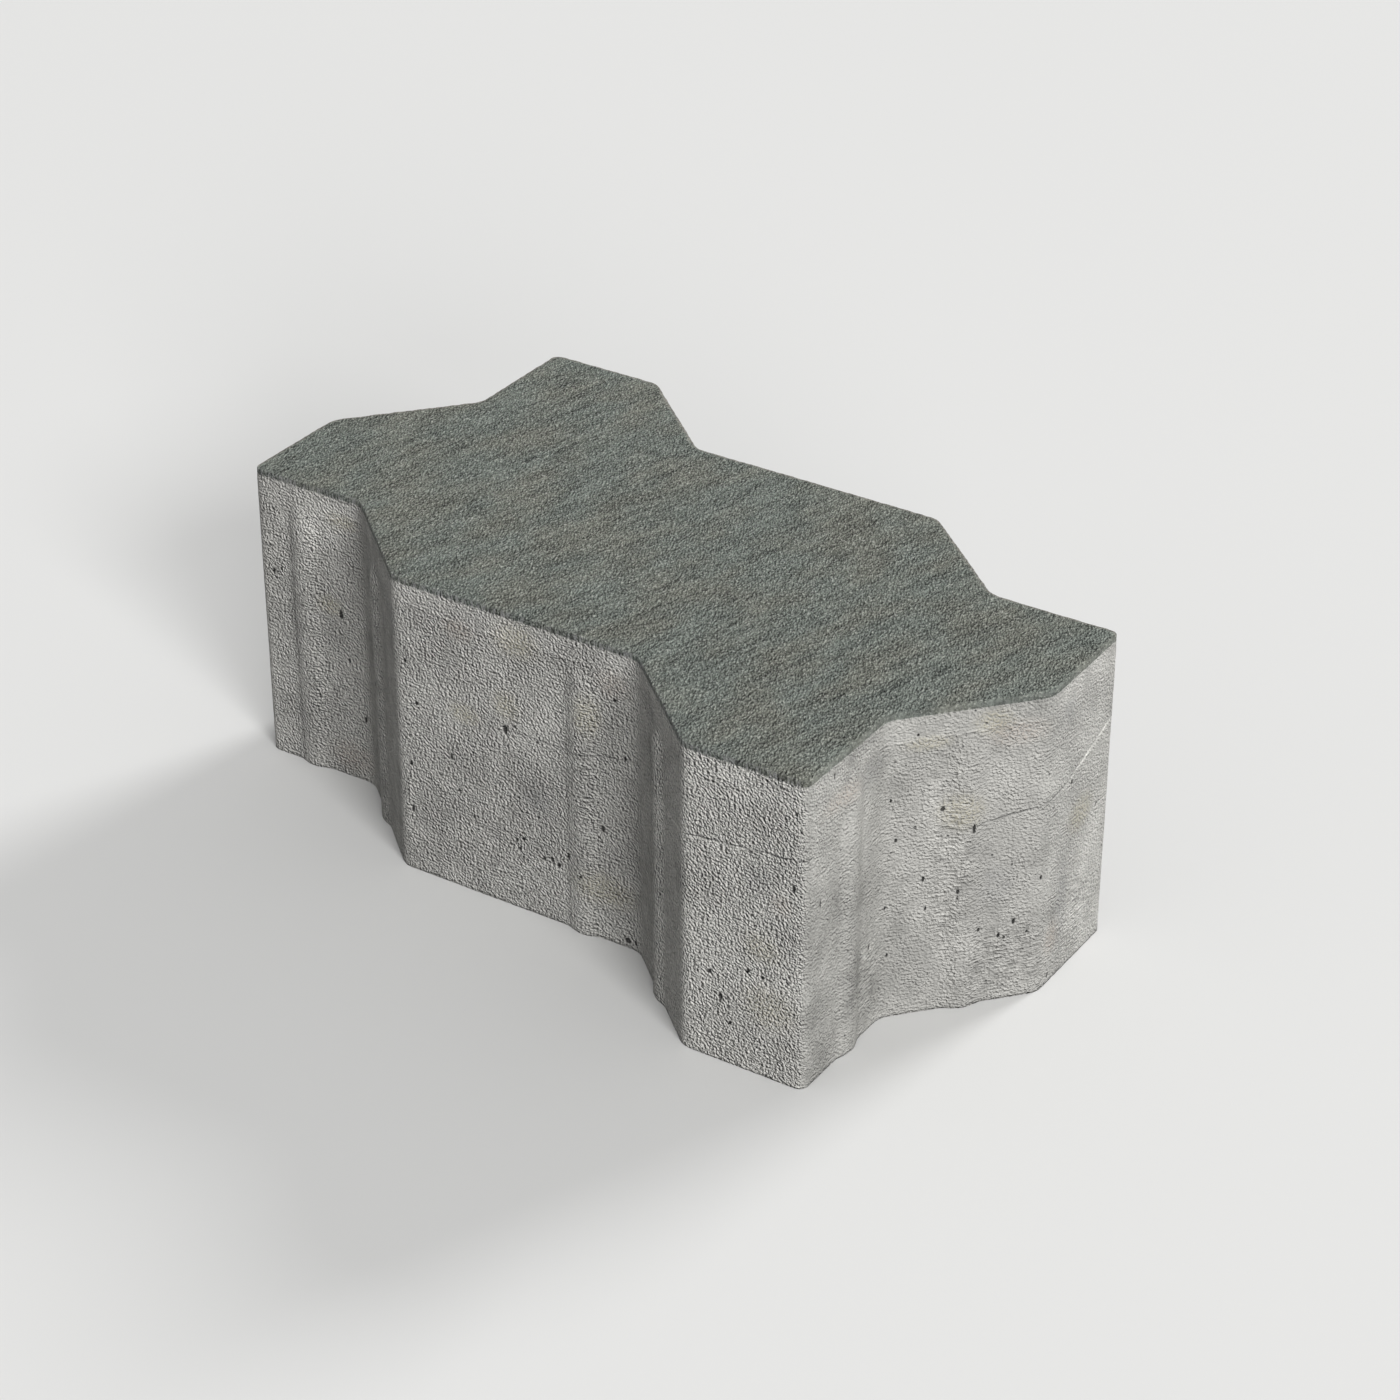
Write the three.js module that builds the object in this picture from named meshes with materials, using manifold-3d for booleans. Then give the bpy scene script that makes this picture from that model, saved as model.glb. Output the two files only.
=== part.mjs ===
import * as THREE from 'three';
import { mergeVertices } from 'three/addons/utils/BufferGeometryUtils.js';
import Module from 'manifold-3d';

// Interlocking concrete paving stone. Millimetres, +Z up, bed face on Z = 0.
//
// In plan the stone is two square laying units side by side. Every side of a unit follows
// the same zigzag: a straight stretch that leans inwards, a steeper slant back across the
// side, and the straight stretch again. The zigzag is its own image when it is turned half
// round, so any side of one stone meets any side of the next.

// Laying pattern
const UNIT_SIDE = 100;          // square laying unit, joint included
const JOINT_WIDTH = 3.5;        // sand joint between neighbouring stones
const THICKNESS = 80;           // bed face to top face

// Zigzag of one unit side
const STRAIGHT_RUN = 33;        // straight stretch, measured along the unit side
const STRAIGHT_SWING = 8.65;    // how far the stretch leans off the unit side

// Roundings
const CORNER_RADIUS = 2.4;      // the four square corners
const OUTER_BEND_RADIUS = 5.5;  // bends that point out of the stone
const INNER_BEND_RADIUS = 6;    // bends that point into the stone
const TOP_EDGE_RADIUS = 0.4;    // arris round the top face

// Spacer ribs
const RIB_FOOT_WIDTH = 10.8;
const RIB_CREST_WIDTH = 1;
const RIB_PROUD = 1.2;          // how far a rib stands off its face
const RIB_TOP_DROP = 6.5;       // top face to where a rib begins
const RIB_RUN_OUT = 7;          // height over which a rib rises to its full section

// Rib centres on the three unit sides of one half of the stone: along the straight stretch
// from the unit corner, and along the slant from the bend where it begins
const RIB_PLACES = [
  { straight: 16.4, slant: 14.9 },
  { straight: 19.3, slant: 17.2 },
  { straight: 20.7, slant: 18.7 },
];

// How far the hidden parts of a solid run on past the surface that they leave
const RIB_ROOT = 6;
const RIB_SINK = 0.1;
const BED_OVERRUN = 10;

// Facets
const ARC_STEP = THREE.MathUtils.degToRad(11);
const ARRIS_FACETS = 3;
const FLANK_FACETS = 5;
const RUN_OUT_FACETS = 5;

// Finish
const CONCRETE_COLOUR = 0x9b9a96;
const CONCRETE_ROUGHNESS = 0.92;

const wasm = await Module();
wasm.setup();

function toSolid(geometry) {
  const bare = geometry.clone();
  bare.deleteAttribute('normal');
  bare.deleteAttribute('uv');
  const merged = mergeVertices(bare);
  const mesh = new wasm.Mesh({
    numProp: 3,
    vertProperties: merged.attributes.position.array,
    triVerts: merged.index.array,
  });
  return new wasm.Manifold(mesh);
}

function toGeometry(solid) {
  const { vertProperties, triVerts } = solid.getMesh();
  const geometry = new THREE.BufferGeometry();
  geometry.setAttribute('position', new THREE.BufferAttribute(vertProperties, 3));
  geometry.setIndex(new THREE.BufferAttribute(triVerts, 1));
  geometry.computeVertexNormals();
  return geometry;
}

function outwardOf(along) {
  return new THREE.Vector2(along.y, -along.x);
}

// One unit side, anticlockwise: where it starts, its first bend inwards and its second bend
// outwards
function unitSide(start, along) {
  const outward = outwardOf(along);
  const firstBend = start.clone()
    .addScaledVector(along, STRAIGHT_RUN)
    .addScaledVector(outward, -STRAIGHT_SWING);
  const secondBend = start.clone()
    .addScaledVector(along, UNIT_SIDE - STRAIGHT_RUN)
    .addScaledVector(outward, STRAIGHT_SWING);
  return { start, firstBend, secondBend };
}

// The unit sides of one half of the stone: two along the front and one at the end. The
// other half is the same three turned half round.
function halfSides() {
  const half = UNIT_SIDE / 2;
  const alongFront = new THREE.Vector2(1, 0);
  const alongEnd = new THREE.Vector2(0, 1);
  return [
    unitSide(new THREE.Vector2(-UNIT_SIDE, -half), alongFront),
    unitSide(new THREE.Vector2(0, -half), alongFront),
    unitSide(new THREE.Vector2(UNIT_SIDE, -half), alongEnd),
  ];
}

// Corners of the laying outline, anticlockwise. The two front sides share one straight face
// where they meet, so the middle of the front is no corner.
function layingCorners() {
  const [front, middle, end] = halfSides();
  const half = [
    { point: front.start, radius: CORNER_RADIUS },
    { point: front.firstBend, radius: INNER_BEND_RADIUS },
    { point: front.secondBend, radius: OUTER_BEND_RADIUS },
    { point: middle.firstBend, radius: INNER_BEND_RADIUS },
    { point: middle.secondBend, radius: OUTER_BEND_RADIUS },
    { point: end.start, radius: CORNER_RADIUS },
    { point: end.firstBend, radius: INNER_BEND_RADIUS },
    { point: end.secondBend, radius: OUTER_BEND_RADIUS },
  ];
  const otherHalf = half.map(({ point, radius }) => ({ point: point.clone().negate(), radius }));
  return [...half, ...otherHalf];
}

// The same corners with every edge of the outline moved inwards by half a joint
function stoneCorners() {
  const corners = layingCorners();
  return corners.map(({ point, radius }, i) => {
    const before = corners.at(i - 1).point;
    const after = corners[(i + 1) % corners.length].point;
    const arriving = point.clone().sub(before).normalize();
    const leaving = after.clone().sub(point).normalize();
    const mitre = outwardOf(arriving).add(outwardOf(leaving)).normalize();
    const shift = -JOINT_WIDTH / 2 / mitre.dot(outwardOf(arriving));
    return { point: point.clone().addScaledVector(mitre, shift), radius, arriving, leaving };
  });
}

// Points of the tangent arc that rounds one corner
function roundedCorner({ point, radius, arriving, leaving }) {
  const turn = Math.atan2(arriving.cross(leaving), arriving.dot(leaving));
  const start = point.clone().addScaledVector(arriving, -radius * Math.tan(Math.abs(turn) / 2));
  const centre = start.clone().addScaledVector(outwardOf(arriving), -Math.sign(turn) * radius);
  const steps = Math.ceil(Math.abs(turn) / ARC_STEP);
  return Array.from({ length: steps + 1 }, (_, i) => (
    start.clone().rotateAround(centre, (turn * i) / steps)
  ));
}

// The block: the outline extruded with a round arris. Its lower arris lies below the bed.
function block() {
  const outline = new THREE.Shape(stoneCorners().flatMap(roundedCorner));
  const geometry = new THREE.ExtrudeGeometry(outline, {
    depth: BED_OVERRUN + THICKNESS - 2 * TOP_EDGE_RADIUS,
    bevelThickness: TOP_EDGE_RADIUS,
    bevelSize: TOP_EDGE_RADIUS,
    bevelOffset: -TOP_EDGE_RADIUS,
    bevelSegments: ARRIS_FACETS,
  });
  geometry.translate(0, 0, TOP_EDGE_RADIUS - BED_OVERRUN);
  return toSolid(geometry);
}

// Plan section of a rib: X along the face, Y into the stone. Its flanks are S-curves.
function ribSection() {
  const foot = RIB_FOOT_WIDTH / 2;
  const crest = RIB_CREST_WIDTH / 2;
  const third = (foot - crest) / 3;
  const section = new THREE.Shape();
  section.moveTo(-foot, RIB_ROOT);
  section.lineTo(-foot, RIB_SINK);
  section.bezierCurveTo(third - foot, RIB_SINK, -crest - third, -RIB_PROUD, -crest, -RIB_PROUD);
  section.lineTo(crest, -RIB_PROUD);
  section.bezierCurveTo(crest + third, -RIB_PROUD, foot - third, RIB_SINK, foot, RIB_SINK);
  section.lineTo(foot, RIB_ROOT);
  return section;
}

// A rib stands at full section from the bed to the run-out, and there sinks into its face
function ribGeometry() {
  const steps = RUN_OUT_FACETS + 1;
  const geometry = new THREE.ExtrudeGeometry(ribSection(), {
    depth: steps,
    steps,
    curveSegments: FLANK_FACETS,
    bevelEnabled: false,
  });
  const { position } = geometry.attributes;
  for (let i = 0; i < position.count; i += 1) {
    const step = Math.round(position.getZ(i));
    const share = (step - 1) / RUN_OUT_FACETS;
    const height = THICKNESS - RIB_TOP_DROP - RIB_RUN_OUT * (1 - share);
    const sunk = THREE.MathUtils.smoothstep(share, 0, 1) * (RIB_PROUD + RIB_SINK);
    position.setY(i, position.getY(i) + sunk);
    position.setZ(i, step === 0 ? -BED_OVERRUN : height);
  }
  return geometry;
}

// A rib on the stretch of the laying outline that runs between two of its corners
function ribOn(from, to, distance) {
  const along = to.clone().sub(from).normalize();
  const foot = from.clone()
    .addScaledVector(along, distance)
    .addScaledVector(outwardOf(along), -JOINT_WIDTH / 2);
  return ribGeometry().rotateZ(along.angle()).translate(foot.x, foot.y, 0);
}

function ribs() {
  const half = halfSides().flatMap(({ start, firstBend, secondBend }, i) => [
    ribOn(start, firstBend, RIB_PLACES[i].straight),
    ribOn(firstBend, secondBend, RIB_PLACES[i].slant),
  ]);
  const otherHalf = half.map((geometry) => geometry.clone().rotateZ(Math.PI));
  return [...half, ...otherHalf].map(toSolid);
}

// Everything below the bed face
function belowBed() {
  const margin = 2 * UNIT_SIDE;
  const geometry = new THREE.BoxGeometry(2 * margin, 2 * margin, 2 * BED_OVERRUN);
  return toSolid(geometry.translate(0, 0, -BED_OVERRUN));
}

function pavingStone() {
  const ribbed = ribs().reduce((stone, rib) => stone.add(rib), block());
  return toGeometry(ribbed.subtract(belowBed()));
}

const concrete = new THREE.MeshStandardMaterial({
  color: CONCRETE_COLOUR,
  roughness: CONCRETE_ROUGHNESS,
  metalness: 0,
});

const stone = new THREE.Mesh(pavingStone(), concrete);
stone.name = 'paving_stone';

const part = new THREE.Group();
part.add(stone);

export default part;
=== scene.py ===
import math

import bpy
import numpy as np
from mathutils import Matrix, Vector, geometry, noise


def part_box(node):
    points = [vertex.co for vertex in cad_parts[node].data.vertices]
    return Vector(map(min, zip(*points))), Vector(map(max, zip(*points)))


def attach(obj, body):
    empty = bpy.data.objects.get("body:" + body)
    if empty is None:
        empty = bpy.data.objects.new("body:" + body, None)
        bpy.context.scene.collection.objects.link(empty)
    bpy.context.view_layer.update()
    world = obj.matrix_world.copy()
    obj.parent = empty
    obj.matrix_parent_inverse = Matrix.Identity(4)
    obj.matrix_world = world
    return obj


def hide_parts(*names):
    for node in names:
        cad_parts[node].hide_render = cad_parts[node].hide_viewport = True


# Looks of the concrete paving stone.
#
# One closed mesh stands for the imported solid. It follows the same outline, arris and spacer
# ribs, and adds what casting leaves: a granular wearing face, rough sides, air holes, a fine
# crack and ragged edges. Shapes are worked out in millimetres and turned into metres when a
# mesh or a lamp is made. A station is a distance along the sharp outline, anticlockwise from
# the corner at the start of the front. A height is measured up the side, and on over the
# arris. Unless they say otherwise, lists by station cover the front and one end, which are
# half of the outline.

MM = 0.001
METRES = 1000.0

# Laying pattern and zigzag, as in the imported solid
UNIT_SIDE = 100.0
JOINT_WIDTH = 3.5
STRAIGHT_RUN = 33.0
STRAIGHT_SWING = 8.65
CORNER_RADIUS = 2.4
OUTER_BEND_RADIUS = 5.5
INNER_BEND_RADIUS = 6.0
TOP_EDGE_RADIUS = 0.4

# Spacer ribs
RIB_FOOT_WIDTH = 10.8
RIB_CREST_WIDTH = 1.0
RIB_PROUD = 1.2
RIB_TOP_DROP = 6.5
RIB_RUN_OUT = 7.0
RIB_PLACES = [
    {"straight": 16.4, "slant": 14.9},
    {"straight": 19.3, "slant": 17.2},
    {"straight": 20.7, "slant": 18.7},
]

# Mesh spacing. Jitter and margins are shares of a step, and the ring step is the one along
# the line that a flat face's points keep inside.
ARC_STEPS = 24
SIDE_STEP = 1.0
TOP_STEP = 0.9
BED_STEP = 2.5
RING_STEP = 0.5
ARRIS_ROWS = 3
CAP_MARGIN = 0.55
HOLE_MARGIN = 0.45
JITTER = 0.22
SEED = 11
CLOSE = 1e-6                    # points nearer than this are one

# Relief, all of it inwards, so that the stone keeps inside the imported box: size of its lumps,
# depth, and how far through the noise it is taken, so that no two reliefs are alike
CAST_RELIEF = {"size": 3.2, "depth": 0.07, "offset": 0.0}
SWELL_RELIEF = {"size": 22.0, "depth": 0.14, "offset": 40.0}
FRAY_RELIEF = {"size": 1.7, "depth": 0.22, "offset": 7.0}
FACE_RELIEF = {"size": 2.4, "depth": 0.16, "offset": 3.0}
BED_RELIEF = {"size": 3.2, "depth": 0.2, "offset": 5.0}
FRAY_HEIGHT = 1.6
NOISE_SPREAD = 0.6

# Wearing layer: the green-grey face reaches this far down the arris
LAYER_DEPTH = 1.5

# Air holes: station, height, half width, half height
HOLES = [
    (25.1, 46.3, 0.50, 1.35),
    (27.0, 33.8, 0.40, 0.60),
    (7.1, 53.8, 0.35, 0.50),
    (4.7, 52.6, 0.35, 0.70),
    (5.6, 70.3, 0.35, 0.50),
    (31.3, 18.2, 0.40, 0.80),
    (46.0, 6.0, 0.35, 0.50),
    (48.0, 38.0, 0.40, 0.60),
    (76.8, 47.2, 0.45, 0.50),
    (102.4, 48.4, 0.50, 1.25),
    (105.2, 50.0, 0.35, 0.45),
    (86.5, 35.8, 0.35, 0.80),
    (74.4, 17.2, 0.35, 1.00),
    (92.6, 21.0, 0.35, 0.50),
    (107.0, 20.0, 0.45, 0.45),
    (115.0, 17.0, 0.40, 0.80),
    (116.9, 16.2, 0.55, 0.60),
    (119.8, 19.8, 0.40, 0.90),
    (123.8, 15.9, 0.45, 0.40),
    (129.5, 30.6, 0.45, 0.95),
    (133.2, 66.2, 0.40, 0.60),
    (136.0, 51.7, 0.35, 0.60),
    (74.5, 30.0, 0.40, 0.60),
    (74.0, 58.0, 0.38, 0.60),
    (88.5, 27.2, 0.38, 0.50),
    (104.9, 19.0, 0.40, 0.55),
    (105.8, 16.8, 0.40, 0.50),
    (112.7, 16.6, 0.38, 0.60),
    (136.1, 1.9, 0.75, 0.75),
    (138.4, 2.0, 0.45, 0.75),
    (146.5, 70.0, 0.35, 0.60),
    (149.0, 63.5, 0.35, 0.50),
    (152.5, 55.0, 0.35, 0.60),
    (157.0, 58.0, 0.40, 0.60),
    (155.0, 15.0, 0.40, 0.60),
    (206.0, 52.4, 0.40, 0.80),
    (206.4, 71.3, 0.40, 0.50),
    (198.3, 26.4, 0.50, 0.50),
    (194.6, 27.0, 0.35, 0.70),
    (187.5, 17.3, 0.45, 1.00),
    (184.8, 23.0, 0.35, 0.60),
    (190.0, 11.0, 0.35, 0.45),
    (215.6, 46.2, 0.30, 1.10),
    (237.0, 22.5, 0.34, 0.80),
    (220.5, 76.0, 0.30, 0.90),
    (242.8, 30.0, 0.30, 0.45),
    (243.5, 58.0, 0.30, 0.45),
    (243.7, 17.0, 0.30, 0.50),
    (252.5, 28.0, 0.30, 0.50),
    (259.7, 31.8, 0.30, 0.60),
    (245.0, 47.4, 0.30, 0.55),
    (249.4, 73.9, 0.30, 0.35),
    (251.7, 36.0, 0.30, 0.75),
    (255.7, 53.8, 0.56, 0.55),
    (262.9, 48.0, 0.34, 1.25),
    (265.2, 20.2, 0.30, 0.55),
    (270.2, 17.5, 0.34, 0.60),
    (271.6, 16.7, 0.34, 0.40),
    (273.7, 20.7, 0.34, 0.75),
    (277.0, 17.4, 0.34, 0.35),
    (280.0, 31.4, 0.34, 0.60),
    (285.2, 1.9, 0.44, 0.75),
    (292.0, 50.7, 0.52, 0.60),
    (294.0, 58.4, 0.34, 0.50),
    (305.0, 38.0, 0.34, 0.50),
]
HOLE_DEPTH = 0.9
HOLE_SPOKES = 12
HOLE_FLOOR = 0.3                # lowest height that a hole may reach

# In half widths and half heights from the middle: the rim, how far inside it the wall runs,
# and the rings of points
HOLE_RIM = 1.15
HOLE_WALL = 0.6
HOLE_RINGS = (0.0, 0.5, 0.85, HOLE_RIM, 1.7)

# Crack: station, height, strength of the dark line and of the pale ledge below it
CRACK = [
    (0.0, 59.3, 1.0, 0.0),
    (12.0, 59.8, 0.8, 0.0),
    (15.0, 60.0, 0.0, 0.0),
    (102.0, 48.3, 0.0, 0.0),
    (104.0, 48.5, 0.8, 0.0),
    (122.0, 49.0, 1.0, 0.0),
    (136.0, 51.4, 1.0, 0.0),
    (140.0, 51.6, 0.6, 0.0),
    (152.0, 53.0, 0.0, 0.0),
    (160.0, 54.3, 0.0, 0.5),
    (177.0, 56.8, 0.1, 0.6),
    (179.0, 57.0, 1.3, 1.0),
    (190.0, 58.3, 1.5, 0.8),
    (196.0, 58.9, 1.4, 0.2),
    (209.0, 60.0, 1.4, 0.2),
    (214.0, 60.2, 0.0, 0.0),
    (262.0, 48.3, 0.0, 0.0),
    (264.0, 48.6, 1.0, 0.0),
    (280.0, 51.0, 1.0, 0.0),
    (290.0, 52.0, 0.6, 0.3),
    (294.0, 53.8, 0.0, 0.8),
    (297.0, 54.6, 0.1, 1.0),
    (309.0, 58.8, 0.1, 1.0),
    (312.0, 59.3, 1.0, 0.0),
]

# Line that the last filling of the mould left below the wearing layer: station, height, and
# strength of the painted highlight and painted shadow along it
FILL_LINE = [
    (0.0, 71.0, 0.0),
    (14.0, 70.8, 0.0),
    (16.0, 71.0, 0.8),
    (32.0, 74.0, 0.8),
    (36.0, 74.0, 0.2),
    (70.0, 74.0, 0.2),
    (73.0, 74.0, 1.0),
    (90.0, 72.7, 1.0),
    (139.0, 73.0, 0.9),
    (142.0, 73.2, 0.2),
    (177.0, 73.8, 0.2),
    (179.0, 73.8, 0.7),
    (190.0, 73.6, 0.5),
    (196.0, 73.6, 0.15),
    (209.0, 74.0, 0.1),
    (212.0, 74.0, 0.0),
    (241.0, 73.0, 0.0),
    (245.0, 72.2, 0.5),
    (279.0, 73.0, 0.5),
    (283.0, 73.0, 0.0),
    (312.0, 71.0, 0.0),
]

# Painted shade and highlight down the ribs: station, half width and how much paler than the
# side.
# Dark ones are painted shade at a rib's shaded foot, pale ones a painted highlight on its crest.
RIB_PAINTED_SHADE_AND_HIGHLIGHT = [
    (11.1, 0.7, -0.11),
    (48.6, 1.5, 0.10),
    (120.1, 0.7, -0.09),
]
RIB_LINE_CORE = 0.3             # share of its half width over which such a line is full
RIB_LINE_FADE = (69.0, 73.0)    # heights over which these lines fade out

# Patches of the side: station, height, half length, half height. The first three kinds are
# stains, and the next two broad changes of tone that are partly painted light and shade. A
# wrinkled patch has level ridges, and a pitted one has wider pinholes.
PATCHES = {
    "yellow": [
        (27.0, 72.5, 5.0, 2.5),
        (22.0, 48.0, 4.0, 3.0),
        (106.0, 73.0, 7.0, 5.0),
        (91.0, 49.0, 5.0, 3.0),
        (103.0, 55.0, 4.0, 4.0),
        (126.0, 60.0, 4.0, 6.0),
        (130.0, 14.0, 9.0, 5.0),
        (198.0, 34.0, 5.0, 4.0),
        (200.0, 19.0, 7.0, 6.0),
        (252.0, 71.5, 6.0, 2.0),
        (267.0, 74.5, 5.0, 3.5),
        (260.0, 53.0, 6.0, 5.0),
        (297.0, 40.0, 6.0, 5.0),
    ],
    "rust": [
        (27.0, 6.0, 8.0, 5.0),
        (90.0, 71.0, 5.0, 3.0),
        (133.0, 70.0, 5.0, 4.0),
        (203.0, 47.0, 3.0, 3.0),
        (224.0, 69.0, 9.0, 3.0),
        (273.0, 71.0, 8.0, 3.5),
        (286.0, 12.0, 4.0, 5.0),
    ],
    "grey": [
        (67.0, 68.0, 5.0, 4.0),
        (111.0, 32.0, 5.0, 5.0),
        (153.0, 72.0, 4.0, 5.0),
        (197.0, 51.0, 4.0, 4.0),
        (235.0, 69.0, 7.0, 4.0),
        (269.0, 31.0, 4.5, 6.0),
        (289.0, 71.0, 3.5, 4.0),
        (290.0, 20.0, 3.0, 13.0),
    ],
    "pale": [
        (108.0, 54.0, 14.0, 11.0),
        (41.0, 53.0, 8.0, 8.0),
        (157.0, 49.0, 18.0, 8.0),
        (166.0, 18.0, 12.0, 16.0),
        (193.0, 27.0, 13.0, 13.0),
        (225.0, 55.0, 16.0, 13.0),
        (300.0, 60.0, 10.0, 8.0),
        (302.0, 21.0, 10.0, 17.0),
        (17.0, 66.0, 3.5, 5.0),
        (27.0, 60.0, 8.0, 12.0),
        (129.0, 34.0, 8.0, 36.0),
        (258.0, 40.0, 5.0, 11.0),
        (34.0, 60.0, 6.0, 7.0),
        (171.0, 53.0, 7.0, 4.0),
        (171.0, 26.0, 7.0, 10.0),
        (139.0, 56.0, 9.0, 9.0),
        (123.0, 49.0, 5.0, 6.0),
        (187.0, 56.0, 5.0, 4.0),
        (217.0, 38.0, 6.0, 14.0),
        (238.0, 30.0, 7.0, 14.0),
        (264.0, 71.0, 5.0, 5.0),
        (282.0, 57.0, 10.0, 6.0),
        (267.0, 6.0, 6.0, 5.0),
    ],
    "dark": [
        (110.0, 32.0, 10.0, 12.0),
        (226.0, 78.0, 18.0, 2.5),
        (24.0, 78.0, 20.0, 2.0),
        (55.0, 78.0, 14.0, 2.0),
        (288.0, 22.0, 5.0, 20.0),
        (241.0, 69.0, 5.0, 4.0),
        (250.0, 69.5, 9.0, 2.5),
        (111.0, 14.0, 9.0, 12.0),
        (217.0, 14.0, 7.0, 10.0),
        (248.0, 60.0, 6.0, 14.0),
        (15.0, 18.0, 5.0, 12.0),
        (11.0, 40.0, 2.5, 38.0),
        (75.0, 69.0, 5.0, 4.0),
        (50.0, 22.0, 5.0, 12.0),
        (150.0, 73.0, 7.0, 4.0),
        (154.0, 37.0, 8.0, 7.0),
        (199.0, 67.0, 10.0, 5.0),
        (199.0, 51.0, 5.0, 6.0),
        (205.0, 7.0, 8.0, 6.0),
        (227.0, 22.0, 4.0, 9.0),
        (277.0, 40.0, 8.0, 8.0),
        (291.0, 37.0, 9.0, 7.0),
    ],
    "wrinkled": [
        (258.0, 40.0, 6.0, 32.0),
        (272.0, 10.0, 12.0, 12.0),
        (104.0, 8.0, 10.0, 8.0),
        (125.0, 38.0, 4.0, 34.0),
        (298.0, 12.0, 12.0, 12.0),
        (234.0, 16.0, 8.0, 14.0),
        (20.0, 22.0, 10.0, 8.0),
    ],
    "pitted": [
        (193.0, 26.0, 17.0, 30.0),
        (266.0, 22.0, 12.0, 12.0),
        (248.0, 40.0, 5.0, 24.0),
        (116.0, 18.0, 6.0, 8.0),
    ],
}
PATCH_REACH = 1.3               # where a patch ends, in half lengths and half heights

# How rough the side is: station, strength
ROUGH = [
    (0.0, 1.08),
    (32.0, 1.08),
    (35.0, 1.6),
    (69.0, 1.6),
    (72.0, 1.1),
    (138.0, 1.1),
    (141.0, 1.7),
    (176.0, 1.7),
    (179.0, 1.5),
    (208.4, 1.5),
    (209.6, 0.62),
    (240.0, 0.62),
    (244.0, 0.5),
    (278.0, 0.5),
    (283.0, 0.54),
    (311.0, 0.54),
]

# Painted light and shade on the flanks of the fine grain: station, and the way from the flank
# painted in shade to the one painted lit, along the side and up it, in millimetres
PAINTED_LIGHT_WAY = [
    (0.0, 0.09, 0.065),
    (207.5, 0.09, 0.065),
    (211.0, 0.08, 0.045),
    (311.0, 0.08, 0.045),
    (312.0, 0.09, 0.065),
]

# How light the body is, partly its own tone and partly painted light and shade for how
# brightly each face is lit: station, factor
BODY_TONE_AND_PAINTED_LIGHT = [
    (0.0, 0.97),
    (32.0, 0.97),
    (36.0, 0.98),
    (50.0, 0.95),
    (69.0, 0.93),
    (73.0, 0.98),
    (137.0, 0.98),
    (141.0, 1.08),
    (152.0, 1.15),
    (176.0, 1.20),
    (179.0, 1.30),
    (208.5, 1.30),
    (210.0, 1.03),
    (240.0, 1.06),
    (244.0, 0.99),
    (278.0, 0.99),
    (282.0, 1.02),
    (312.0, 1.04),
]

# How ragged the rim of the wearing layer is: station, strength
RAGGED = [
    (0.0, 1.0),
    (206.0, 1.0),
    (212.0, 0.25),
    (309.0, 0.25),
    (312.0, 1.0),
]

# How far the rim is painted pale as a highlight, all the way round: station, strength
PAINTED_RIM_HIGHLIGHT = [
    (0.0, 0.0),
    (209.0, 0.0),
    (212.0, 0.1),
    (309.0, 0.1),
    (313.0, 1.0),
    (622.0, 1.0),
    (624.0, 0.0),
]
RIM_HEIGHT = 1.7
RIM_FADE = 0.3

# Ranges of noise: what most of it and nearly all of it lie in, and what its slopes lie in
MOST_NOISE = (0.3, 0.7)
ALL_NOISE = (0.2, 0.8)
NOISE_SLOPES = (-0.25, 0.25)

# Finish of the grey body. Sizes of lumps are millimetres through the stone, or along the side
# and up it with a 1 for the third. Tones are shares of white and heights are millimetres of
# bump. Where two ranges stand together, values of the first are taken to the second.
CLOUDS = {"size": (16, 16, 16), "detail": 3.0}
CLOUD_TONES = (0.385, 0.60)
MOTTLE = {"size": (4.2, 4.2, 4.2), "detail": 2.0}
MOTTLE_TONES = (-0.075, 0.075)
MOTTLE_ON_GRAIN = ((0.32, 0.68), (0.6, 1.4))
MOTTLE_WHERE_ROUGH = ((1.1, 1.7), (1.0, 1.8))
SIDE_GRAIN = {"size": (0.68, 0.60, 1), "detail": 1.0, "distortion": 0.2}
SIDE_GRAIN_HEIGHTS = (0.0, 1.15)
# Painted light and shade on the flanks of the grain
SIDE_PAINTED_LIGHT_TONES = (-0.85, 0.85)
# Low spots of the grain darker: partly dirt, partly painted shade
SIDE_PIT_DIRT_AND_SHADE_TONES = ((0.20, 0.38), (-0.20, 0.0))
WRINKLES = {"size": (3.0, 0.5, 1), "detail": 1.0, "distortion": 0.5}
WRINKLE_STRENGTH = 0.8
WRINKLE_TONES = (-0.24, 0.24)
WRINKLE_HEIGHTS = (0.0, 0.60)
PALE_TONE = 0.08
DARK_TONE = -0.08
BODY_TINT = {"red": 0.015, "blue": -0.055}
BODY_ROUGHNESS = (0.95, 0.85)

# Stains: colour and greatest strength. The grain breaks them up into specks.
STAINS = {
    "yellow": ((0.60, 0.55, 0.38, 1.0), 0.45),
    "rust": ((0.60, 0.49, 0.41, 1.0), 0.36),
    "grey": ((0.36, 0.36, 0.36, 1.0), 0.45),
}
STAIN_SPECKS = (0.40, 0.62)     # grain over which a stain comes up to its greatest strength
STAIN_LEAST = 0.15              # its strength between the specks, as a share of the greatest

# Lines on the side: how far above their list's height they lie, the distance from there at
# which they begin to fade and the one at which they are gone
CRACK_LINE = (0.0, 0.05, 0.30)
LEDGE_LINE = (-0.55, 0.25, 0.65)
# The lip is a painted highlight along the step at the fill line, the shadow a painted shadow
LIP_HIGHLIGHT_LINE = (0.30, 0.08, 0.38)
SHADOW_LINE = (-0.25, 0.08, 0.38)
CRACK_HEIGHT = -0.25
LEDGE_TONE = 0.36
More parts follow.
